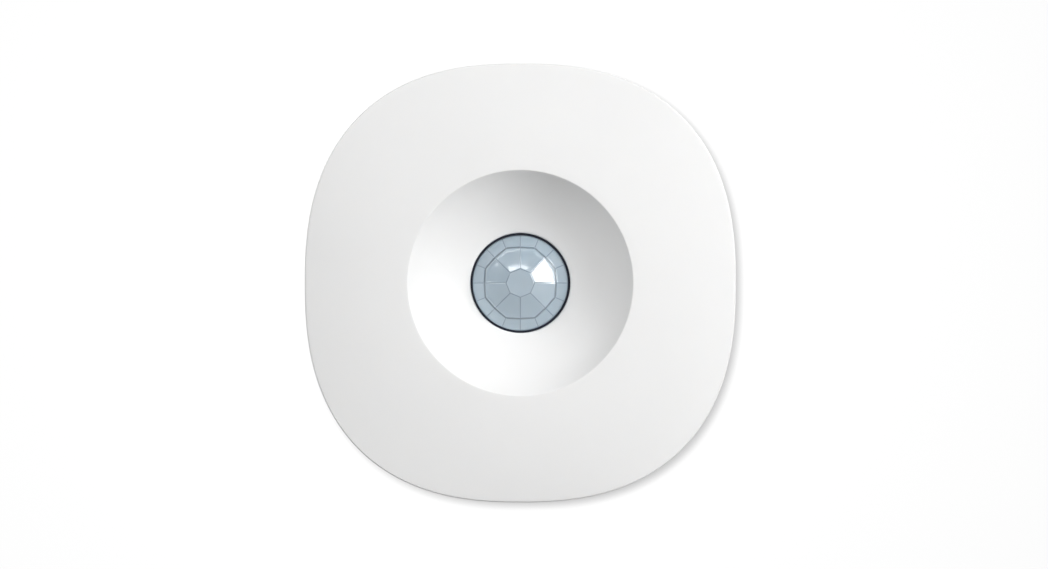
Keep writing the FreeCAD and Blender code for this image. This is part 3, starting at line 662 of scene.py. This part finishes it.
def eased(node, bevel):
    """A copy of a CAD node whose sharp edges are broken by a bevel, in millimetres."""
    obj = frame["nodes"][node].copy()
    obj.data = obj.data.copy()
    for key in list(obj.keys()):
        if key.startswith("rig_"):
            del obj[key]
    obj.name = node + "_detail"
    obj.parent = None
    bpy.context.scene.collection.objects.link(obj)
    bm = bmesh.new()
    bm.from_mesh(obj.data)
    bmesh.ops.remove_doubles(bm, verts=bm.verts, dist=WELD * MM)
    bmesh.ops.dissolve_limit(bm, angle_limit=FLAT, verts=bm.verts, edges=bm.edges)
    bm.to_mesh(obj.data)
    bm.free()
    obj.data.materials.clear()
    ease = obj.modifiers.new("ease", "BEVEL")
    ease.width = bevel * MM
    ease.segments = 2
    ease.limit_method = "ANGLE"
    ease.angle_limit = BEVEL_FROM
    ease.use_clamp_overlap = True
    apply_modifiers(obj)
    obj.data.shade_smooth()
    obj.data.set_sharp_from_angle(angle=SHARP_FROM)
    weigh_normals(obj)
    return obj


# ---------------------------------------------------------------- materials
def new_material(name):
    """A new material, its nodes, its links and its shader."""
    mat = bpy.data.materials.new(name)
    mat.use_nodes = True
    return mat, mat.node_tree.nodes, mat.node_tree.links, mat.node_tree.nodes["Principled BSDF"]


def coordinates(nodes, links, scale=(1, 1, 1)):
    """Object coordinates in millimetres, stretched by scale."""
    source = nodes.new("ShaderNodeTexCoord")
    mapping = nodes.new("ShaderNodeMapping")
    mapping.inputs["Scale"].default_value = [1000 * s for s in scale]
    links.new(source.outputs["Object"], mapping.inputs["Vector"])
    return mapping.outputs["Vector"]


def noise(nodes, links, vector, size, detail, roughness=0.5):
    """Noise whose blobs are about size millimetres across."""
    texture = nodes.new("ShaderNodeTexNoise")
    texture.inputs["Scale"].default_value = 1 / size
    texture.inputs["Detail"].default_value = detail
    texture.inputs["Roughness"].default_value = roughness
    links.new(vector, texture.inputs["Vector"])
    return texture.outputs["Fac"]


def spread(nodes, links, value, low, high, start=0.3, end=0.7):
    """Maps a 0 to 1 texture value onto a range."""
    node = nodes.new("ShaderNodeMapRange")
    node.inputs["From Min"].default_value = start
    node.inputs["From Max"].default_value = end
    node.inputs["To Min"].default_value = low
    node.inputs["To Max"].default_value = high
    links.new(value, node.inputs["Value"])
    return node.outputs["Result"]


def mixed(nodes, links, value, first, second):
    """Colour between two colours."""
    node = nodes.new("ShaderNodeMix")
    node.data_type = "RGBA"
    for index, colour in ((6, first), (7, second)):
        if isinstance(colour, bpy.types.NodeSocket):
            links.new(colour, node.inputs[index])
        else:
            node.inputs[index].default_value = (*colour, 1)
    links.new(value, node.inputs[0])
    return node.outputs[2]


def bump(nodes, links, bsdf, height, depth):
    """Bump of the given depth in millimetres, on top of any that is already there."""
    node = nodes.new("ShaderNodeBump")
    node.inputs["Distance"].default_value = depth * MM
    links.new(height, node.inputs["Height"])
    if bsdf.inputs["Normal"].is_linked:
        links.new(bsdf.inputs["Normal"].links[0].from_socket, node.inputs["Normal"])
    links.new(node.outputs["Normal"], bsdf.inputs["Normal"])


def shaded(colour, factor):
    """The colour made lighter or darker."""
    return tuple(min(1.0, c * factor) for c in colour)


def uneven(nodes, links, value, colour, vary, bsdf):
    """Gives the shader a colour that wanders by the share vary either side of the one given."""
    tone = spread(nodes, links, value, 0.0, 1.0)
    wander = mixed(nodes, links, tone, shaded(colour, 1 - vary), shaded(colour, 1 + vary))
    links.new(wander, bsdf.inputs["Base Color"])


def moulded(name, colour, rough=0.5, grain=0.16, depth=0.006, subsurface=0.0, vary=0.02):
    """Moulded plastic with an etched grain, faint flow marks and slightly uneven gloss."""
    mat, nodes, links, bsdf = new_material(name)
    vector = coordinates(nodes, links)
    broad = noise(nodes, links, vector, 14.0, 2.0)
    fine = noise(nodes, links, vector, grain, 3.0, 0.6)
    uneven(nodes, links, broad, colour, vary, bsdf)
    patch = noise(nodes, links, vector, 3.0, 3.0)
    links.new(spread(nodes, links, patch, rough - 0.04, rough + 0.05), bsdf.inputs["Roughness"])
    if subsurface:
        bsdf.inputs["Subsurface Weight"].default_value = subsurface
        bsdf.inputs["Subsurface Radius"].default_value = (1.0, 0.9, 0.8)
        bsdf.inputs["Subsurface Scale"].default_value = 0.6 * MM
    bump(nodes, links, bsdf, fine, depth)
    return mat


def metal(name, colour, rough=0.25, stretch=(1, 1, 1), grain=0.05, depth=0.002):
    """Metal with a drawn, rolled or plated surface; stretch lengthens its marks along an axis."""
    mat, nodes, links, bsdf = new_material(name)
    vector = coordinates(nodes, links, stretch)
    marks = noise(nodes, links, vector, grain, 4.0, 0.65)
    plain = coordinates(nodes, links)
    stain = noise(nodes, links, plain, 2.5, 3.0)
    uneven(nodes, links, stain, colour, 0.06, bsdf)
    links.new(spread(nodes, links, marks, rough - 0.07, rough + 0.1), bsdf.inputs["Roughness"])
    bsdf.inputs["Metallic"].default_value = 1.0
    bump(nodes, links, bsdf, marks, depth)
    return mat


def lens_material():
    """Milky blue-grey polyethylene: glossy skin over a translucent body, with shade painted dark
    along the grooves.
    """
    mat, nodes, links, bsdf = new_material("lens_polyethylene")
    vector = coordinates(nodes, links)
    cloud = noise(nodes, links, vector, 3.5, 1.0)
    tone = spread(nodes, links, cloud, 0.0, 1.0)
    milk = mixed(nodes, links, tone, (0.300, 0.368, 0.422), (0.316, 0.384, 0.438))
    # painted shade: the groove value darkens the colour towards dark blue-grey along each groove
    groove_shade = nodes.new("ShaderNodeAttribute")
    groove_shade.attribute_name = "groove"
    depth = spread(nodes, links, groove_shade.outputs["Fac"], 0.0, 0.72, 0.0, 1.0)
    links.new(mixed(nodes, links, depth, milk, (0.05, 0.075, 0.10)), bsdf.inputs["Base Color"])
    bsdf.inputs["Roughness"].default_value = 0.28
    bsdf.inputs["IOR"].default_value = 1.54
    bsdf.inputs["Coat Weight"].default_value = 1.0
    bsdf.inputs["Coat Roughness"].default_value = 0.07
    bsdf.inputs["Subsurface Weight"].default_value = 0.8
    bsdf.inputs["Subsurface Radius"].default_value = (0.8, 0.9, 1.0)
    bsdf.inputs["Subsurface Scale"].default_value = 0.8 * MM
    fine = noise(nodes, links, vector, 0.3, 2.0)
    bump(nodes, links, bsdf, fine, 0.0003)
    return mat


def board_material(name, mask, track):
    """Solder mask over copper: tracks show as a raised, lighter net, over a fine glass weave."""
    mat, nodes, links, bsdf = new_material(name)
    vector = coordinates(nodes, links)
    gap = nodes.new("ShaderNodeMath")
    gap.operation = "SUBTRACT"
    for socket, feature in enumerate(("F2", "F1")):
        cells = nodes.new("ShaderNodeTexVoronoi")
        cells.distance = "MANHATTAN"
        cells.feature = feature
        cells.inputs["Scale"].default_value = 0.42
        cells.inputs["Randomness"].default_value = 0.85
        links.new(vector, cells.inputs["Vector"])
        links.new(cells.outputs["Distance"], gap.inputs[socket])
    line = spread(nodes, links, gap.outputs["Value"], 1.0, 0.0, 0.05, 0.08)
    weave = nodes.new("ShaderNodeTexChecker")
    weave.inputs["Scale"].default_value = 2.2
    links.new(vector, weave.inputs["Vector"])
    ground = mixed(nodes, links, weave.outputs["Fac"], mask, shaded(mask, 1.1))
    links.new(mixed(nodes, links, line, ground, track), bsdf.inputs["Base Color"])
    patch = noise(nodes, links, vector, 1.5, 3.0)
    links.new(spread(nodes, links, patch, 0.28, 0.4), bsdf.inputs["Roughness"])
    bsdf.inputs["Coat Weight"].default_value = 0.4
    bsdf.inputs["Coat Roughness"].default_value = 0.15
    bump(nodes, links, bsdf, line, 0.03)
    fine = noise(nodes, links, vector, 0.25, 2.0)
    bump(nodes, links, bsdf, fine, 0.004)
    return mat


def foam_material():
    """Closed-cell foam tape with its paper-smooth adhesive face."""
    mat, nodes, links, bsdf = new_material("foam_tape")
    vector = coordinates(nodes, links)
    cells = nodes.new("ShaderNodeTexVoronoi")
    cells.inputs["Scale"].default_value = 1 / 0.28
    links.new(vector, cells.inputs["Vector"])
    tone = spread(nodes, links, cells.outputs["Distance"], 0.0, 1.0, 0.1, 0.8)
    colour = mixed(nodes, links, tone, (0.56, 0.56, 0.54), (0.68, 0.68, 0.66))
    links.new(colour, bsdf.inputs["Base Color"])
    bsdf.inputs["Roughness"].default_value = 0.85
    bump(nodes, links, bsdf, tone, 0.03)
    return mat


# ---------------------------------------------------------------- the pieces
WHITE = (0.76, 0.76, 0.757)
BODIES = frame["record"]["behaviour"]["bodies"]
BODY_OF = {node: body for body, members in BODIES.items() for node in members}


def dress(obj, node, mat):
    """Gives a piece its material, puts it on its body and hides the CAD node that it stands in for.
    """
    obj.data.materials.clear()
    obj.data.materials.append(mat)
    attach(obj, BODY_OF[node])
    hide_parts(node)


def build_shells():
    """The five pieces whose shapes are made here."""
    white = moulded("shell_plastic", WHITE, rough=0.46, subsurface=0.12, vary=0.008)
    off_white = shaded(WHITE, 0.99)
    rear = moulded("cover_plastic", off_white, rough=0.5, depth=0.008, subsurface=0.12, vary=0.01)
    plate = moulded("plate_plastic", shaded(WHITE, 0.97), rough=0.55, depth=0.01, grain=0.22)
    milky = lens_material()
    # near-black seal: partly the rubber's own colour, partly painted shade of the gap round the
    # lens
    seal_and_gap_shade = moulded("seal_rubber_gap_shade", (0.004, 0.006, 0.016), rough=0.42, grain=0.1)
    for obj, node, mat in (
        (front_housing(), "front_housing", white),
        (rear_cover(), "rear_cover", rear),
        (wall_plate(), "wall_plate", plate),
        (lens(), "lens", milky),
        (lens_gasket(), "lens_gasket", seal_and_gap_shade),
    ):
        dress(obj, node, mat)


def build_details():
    """Every other CAD node, with its edges eased and a material of its own."""
    black = moulded("black_moulding", (0.018, 0.018, 0.020), rough=0.48, grain=0.14, depth=0.01)
    nickel = metal("nickel_plate", (0.60, 0.57, 0.52), rough=0.2)
    zinc = metal("zinc_plate", (0.55, 0.57, 0.58), rough=0.3)
    spring = metal("spring_strip", (0.60, 0.58, 0.54), rough=0.26, stretch=(0.15, 4, 4))
    drawn = metal("cell_steel", (0.62, 0.61, 0.59), rough=0.24, grain=0.08)
    gold = metal("gold_flash", (0.78, 0.56, 0.24), rough=0.22)
    header = metal("header_plate", (0.66, 0.58, 0.42), rough=0.3)
    copper = metal("copper_foil", (0.72, 0.42, 0.22), rough=0.3)
    tin = metal("bright_tin", (0.66, 0.66, 0.66), rough=0.32, grain=0.2, depth=0.01)
    coating = metal("filter_coating", (0.10, 0.09, 0.14), rough=0.08, depth=0.0004)
    green_mask = board_material("board_mask", (0.008, 0.085, 0.035), (0.015, 0.15, 0.06))
    blue_mask = board_material("radio_mask", (0.008, 0.03, 0.12), (0.015, 0.06, 0.19))
    paste = moulded("cell_paste", (0.03, 0.03, 0.03), rough=0.8, grain=0.2, depth=0.02)
    # Each node's bevel in millimetres and its material. The two last numbers of a plastic are its
    # roughness and its grain.
    looks = {
        "plate_magnet": (0.12, nickel),
        "adhesive_pad": (0.08, foam_material()),
        "keeper_disc": (0.1, zinc),
        "pair_button": (0.08, moulded("button_plastic", (0.36, 0.38, 0.40), 0.45, 0.12)),
        "lens_retainer": (0.08, black),
        "pir_insulator": (0.04, black),
        "pir_header": (0.05, header),
        "pir_leads": (0.03, gold),
        "pir_can": (0.04, nickel),
        "pir_filter": (0.03, coating),
        "pyro_element": (0.03, moulded("pyro_ceramic", (0.60, 0.57, 0.48), 0.6, 0.05)),
        "main_board": (0.05, green_mask),
        "board_screws": (0.05, zinc),
        "radio_board": (0.04, blue_mask),
        "radio_shield": (0.05, nickel),
        "antenna": (0.012, copper),
        "signal_processor": (0.04, moulded("chip_epoxy", (0.022, 0.022, 0.024), 0.6, 0.06)),
        "clock_crystal": (0.05, nickel),
        "storage_capacitor": (0.06, moulded("tantalum_epoxy", (0.60, 0.30, 0.04), 0.35, 0.3)),
        "chip_capacitors": (0.05, moulded("capacitor_ceramic", (0.27, 0.17, 0.09), 0.5, 0.05)),
        "chip_resistors": (0.04, moulded("resistor_glaze", (0.02, 0.02, 0.022), 0.35, 0.05)),
        "status_led": (0.05, moulded("led_resin", (0.80, 0.76, 0.60), 0.25, 0.1)),
        "light_sensor": (0.05, moulded("sensor_resin", (0.56, 0.54, 0.50), 0.25, 0.1)),
        "switch_body": (0.05, black),
        "switch_cover": (0.03, nickel),
        "switch_plunger": (0.06, moulded("plunger_plastic", (0.03, 0.03, 0.032), 0.4, 0.08)),
        "switch_terminals": (0.03, tin),
        "battery_holder": (0.12, black),
        "positive_contact": (0.05, spring),
        "negative_contact": (0.04, spring),
        "cell_can": (0.06, drawn),
        "cell_gasket": (0.04, moulded("cell_nylon", (0.60, 0.60, 0.57), 0.5, 0.1)),
        "cell_cap": (0.06, drawn),
        "cell_electrodes": (0.08, paste),
    }
    for node, (bevel, mat) in looks.items():
        dress(eased(node, bevel), node, mat)
    return tin


def solder_joints(tin):
    """Domed joints where the detector's leads come through the board."""
    bm = bmesh.new()
    outline = ((0, 0), (0.85, 0), (0.8, 0.06), (0.55, 0.14), (0.36, 0.27), (0.24, 0.34), (0, 0.34))
    dome = [(r, BOARD_REAR_Z - proud, 0, 0) for r, proud in outline]
    for angle in LEAD_ANGLES:
        a = math.radians(angle)
        at = (LEAD_CIRCLE * math.cos(a), LEAD_CIRCLE * math.sin(a))
        add_rings(bm, dome, at, closed=False, spokes=32)
    obj = finish_mesh(bm, "solder_joints")
    obj.data.materials.append(tin)
    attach(obj, "front_unit")


# ---------------------------------------------------------------- stage, lights and camera
# Metres in the row's frame: the wall is just behind y = 0 and the front looks towards -y.
STAGE_SIZE = 6.0
WALL_Y = 0.0004
WALL_GLOW = 0.56
WALL_WHITE = 0.1
FLOOR_Z = -0.16
FLOOR_GLOW = 0.25
SKY = 0.18
AIM = Vector((0, -0.02, 0))                 # the lamps point at the middle of the face
CAMERA_AT = (0.00048, -0.4, -0.0002)
WALL_LAMP_AT = (-0.0092, -0.4, 0.0084)      # up and left, so that its shadow falls low and right
WALL_LAMP_SIZE = 0.026
WALL_LAMP_POWER = 7.0315
FACING_WALL = (math.pi / 2, 0, 0)


def plane(name, matrix):
    """A square of the stage."""
    bm = bmesh.new()
    bmesh.ops.create_grid(bm, x_segments=1, y_segments=1, size=STAGE_SIZE / 2)
    bmesh.ops.transform(bm, verts=bm.verts, matrix=matrix)
    mesh = bpy.data.meshes.new(name)
    bm.to_mesh(mesh)
    bm.free()
    obj = bpy.data.objects.new(name, mesh)
    bpy.context.scene.collection.objects.link(obj)
    return obj


def wall_material():
    """White backdrop that shows only its front, so that the sensor's back can be seen too."""
    mat, nodes, links, bsdf = new_material("backdrop")
    bsdf.inputs["Base Color"].default_value = (WALL_WHITE, WALL_WHITE, WALL_WHITE, 1)
    bsdf.inputs["Roughness"].default_value = 1.0
    bsdf.inputs["Specular IOR Level"].default_value = 0.0
    bsdf.inputs["Emission Color"].default_value = (1, 1, 1, 1)
    bsdf.inputs["Emission Strength"].default_value = WALL_GLOW
    geometry = nodes.new("ShaderNodeNewGeometry")
    clear = nodes.new("ShaderNodeBsdfTransparent")
    mix = nodes.new("ShaderNodeMixShader")
    links.new(geometry.outputs["Backfacing"], mix.inputs[0])
    links.new(bsdf.outputs[0], mix.inputs[1])
    links.new(clear.outputs[0], mix.inputs[2])
    links.new(mix.outputs[0], nodes["Material Output"].inputs["Surface"])
    return mat


def floor_material():
    """Pale floor, a little uneven, that glows so that it stays light under the soft lamps."""
    mat, nodes, links, bsdf = new_material("pale_floor")
    vector = coordinates(nodes, links)
    tone = spread(nodes, links, noise(nodes, links, vector, 60.0, 3.0), 0.0, 1.0)
    colour = mixed(nodes, links, tone, (0.74, 0.74, 0.74), (0.78, 0.78, 0.78))
    links.new(colour, bsdf.inputs["Base Color"])
    bsdf.inputs["Roughness"].default_value = 0.7
    bsdf.inputs["Emission Color"].default_value = (1, 1, 1, 1)
    bsdf.inputs["Emission Strength"].default_value = FLOOR_GLOW
    return mat


def build_stage():
    """The wall and the floor. Neither lights the sensor: its shading comes from lamps and sky."""
    upright = Matrix.Rotation(math.pi / 2, 4, "X")
    wall = plane("backdrop", Matrix.Translation((0, WALL_Y, 0)) @ upright)
    wall.data.materials.append(wall_material())
    wall.visible_diffuse = False
    wall.visible_glossy = False
    wall.visible_transmission = False
    wall.visible_shadow = False
    floor = plane("floor", Matrix.Translation((0, 0, FLOOR_Z)))
    floor.data.materials.append(floor_material())
    floor.visible_diffuse = False
    return wall, floor


def sky():
    """Even soft light, with a brighter background where the camera sees it."""
    world = bpy.data.worlds.new("studio")
    bpy.context.scene.world = world
    world.use_nodes = True
    nodes, links = world.node_tree.nodes, world.node_tree.links
    even = nodes["Background"]
    even.inputs["Color"].default_value = (1, 1, 1, 1)
    even.inputs["Strength"].default_value = SKY
    seen = nodes.new("ShaderNodeBackground")
    seen.inputs["Color"].default_value = (0.92, 0.93, 0.94, 1)
    path = nodes.new("ShaderNodeLightPath")
    mix = nodes.new("ShaderNodeMixShader")
    links.new(path.outputs["Is Camera Ray"], mix.inputs[0])
    links.new(even.outputs[0], mix.inputs[1])
    links.new(seen.outputs[0], mix.inputs[2])
    links.new(mix.outputs[0], nodes["World Output"].inputs["Surface"])


def area_light(name, size, power, length=None):
    """A round lamp, or with a length a strip, that the camera doesn't see."""
    data = bpy.data.lights.new(name, "AREA")
    data.shape = "DISK"
    data.size = size
    if length:
        data.shape = "RECTANGLE"
        data.size, data.size_y = length, size
    data.energy = power
    obj = bpy.data.objects.new(name, data)
    bpy.context.scene.collection.objects.link(obj)
    obj.visible_camera = False
    return obj


def lamp(name, around, tilt, distance, size, brightness, length=None, diffuse_only=False):
    """Soft lamp aimed at the sensor's face. around turns from right towards up as seen from the
    front, in degrees, and tilt is its angle from the wall's normal; brightness is the light that
    it gives at its aim. With a length it is a level strip."""
    obj = area_light(name, size, brightness * math.pi * distance ** 2, length)
    obj.visible_glossy = not diffuse_only
    a, t = math.radians(around), math.radians(tilt)
    away = Vector((math.sin(t) * math.cos(a), -math.cos(t), math.sin(t) * math.sin(a)))
    obj.location = AIM + away * distance
    level = away.cross(Vector((0, -1, 0))).cross(away) if length is None else Vector((1, 0, 0))
    level = (level - away * level.dot(away)).normalized()
    obj.rotation_euler = Matrix((level, away.cross(level), away)).transposed().to_euler()
    return obj


def only_for(lamps, targets, state):
    """Makes lamps light only the targets (INCLUDE) or everything but them (EXCLUDE)."""
    group = bpy.data.collections.new("lit_" + targets[-1].name + "_" + state.lower())
    for target in targets:
        group.objects.link(target)
    for member in group.collection_objects:
        member.light_linking.link_state = state
    for light in lamps:
        light.light_linking.receiver_collection = group
    return group


def build_lights(wall, floor, lens_piece):
    """Broad lamps for the shells, low and glossy ones for the lens alone, and one for the wall."""
    broad = [
        lamp("key", 20, 62, 1.0, 0.36, 1.85),
        lamp("top_left", 135, 62, 1.0, 0.36, 0.98),
        lamp("front", 0, 3, 1.0, 0.5, 1.38, diffuse_only=True),
        lamp("glint", 27, 53, 0.9, 0.3, 0.85),
    ]
    only_for(broad, [wall], "EXCLUDE")
    rear = [
        lamp("back_left", 150, 125, 0.6, 0.4, 1.5),
        lamp("back_right", 30, 125, 0.6, 0.4, 1.5),
    ]
    only_for(rear, [wall, floor], "EXCLUDE")
    kick = [
        lamp("kick_left", 190, 100, 0.8, 0.2, 1.4, diffuse_only=True),
        lamp("kick_low", 245, 100, 0.8, 0.2, 1.4, diffuse_only=True),
        lamp("kick_right", 295, 100, 0.8, 0.2, 0.8, diffuse_only=True),
    ]
    glossy = [
        lamp("face_on", 0, 2, 0.7, 0.3, 0.16),
        lamp("streak", 93, 47.2, 0.7, 0.02, 0.36, length=0.5),
        lamp("streak_left", 154, 56, 0.7, 0.02, 0.04, length=0.1),
    ]
    on_lens = only_for(kick + glossy, [lens_piece], "INCLUDE")
    for light in kick:
        light.light_linking.blocker_collection = on_lens
    soft = area_light("wall_soft", WALL_LAMP_SIZE, WALL_LAMP_POWER)
    soft.location = WALL_LAMP_AT
    soft.rotation_euler = FACING_WALL
    only_for([soft], [wall], "INCLUDE")


def build_camera():
    """Straight on, at the height of the sensor, a long lens far enough away to frame it."""
    data = bpy.data.cameras.new("camera")
    data.lens = 100
    data.sensor_width = 36
    camera = bpy.data.objects.new("camera", data)
    bpy.context.scene.collection.objects.link(camera)
    camera.location = CAMERA_AT
    camera.rotation_euler = FACING_WALL
    bpy.context.scene.camera = camera


build_camera()
build_shells()
tin_material = build_details()
solder_joints(tin_material)
build_lights(*build_stage(), bpy.data.objects["lens_moulding"])
sky()
bpy.context.scene.view_settings.view_transform = "Standard"
